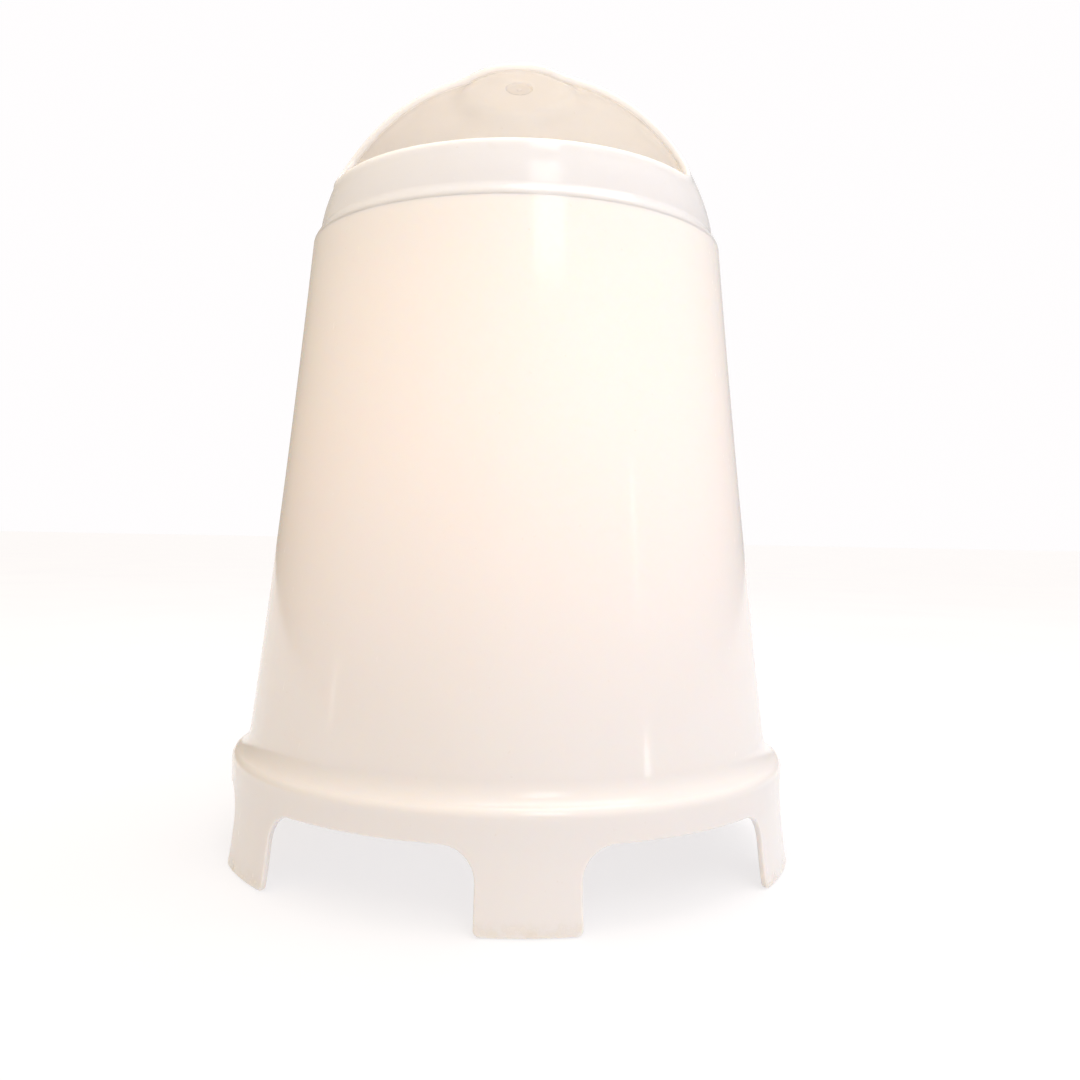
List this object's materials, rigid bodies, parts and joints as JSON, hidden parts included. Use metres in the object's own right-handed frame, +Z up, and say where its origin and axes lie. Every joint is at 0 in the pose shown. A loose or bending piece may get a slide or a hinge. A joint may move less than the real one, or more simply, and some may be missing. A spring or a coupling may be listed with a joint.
{
  "type": "feeder hood",
  "caption": "Tapered translucent hopper hood on a collar with spaced feet, under a lift-off domed cap whose front is open as a filling mouth.",
  "frame": {"origin": "on the ground plane under the feet, at the hood's axis", "axes": "+Z up along the hood's axis; -Y is the front, where the filling mouth opens and one foot stands"},
  "size_m": [0.3, 0.308, 0.4234],
  "materials": {
    "hopper_plastic": "gloss",
    "cap_plastic": "gloss"
  },
  "bodies": {
    "hopper": {"hopper_wall": "hopper_plastic", "shoulder_ring": "hopper_plastic", "collar_band": "hopper_plastic", "foot_1": "hopper_plastic", "foot_2": "hopper_plastic", "foot_3": "hopper_plastic", "foot_4": "hopper_plastic", "foot_5": "hopper_plastic", "foot_6": "hopper_plastic"},
    "cap": {"cap_skirt": "cap_plastic", "cap_flange": "cap_plastic", "cap_neck": "cap_plastic", "cap_hood": "cap_plastic", "gate_pad": "cap_plastic", "gate_boss": "cap_plastic"}
  },
  "joints": [
    {"name": "cap_lift", "type": "slide", "parent": "hopper", "child": "cap", "axis": [0, 0, 1], "range_m": [0, 0.06]}
  ]
}
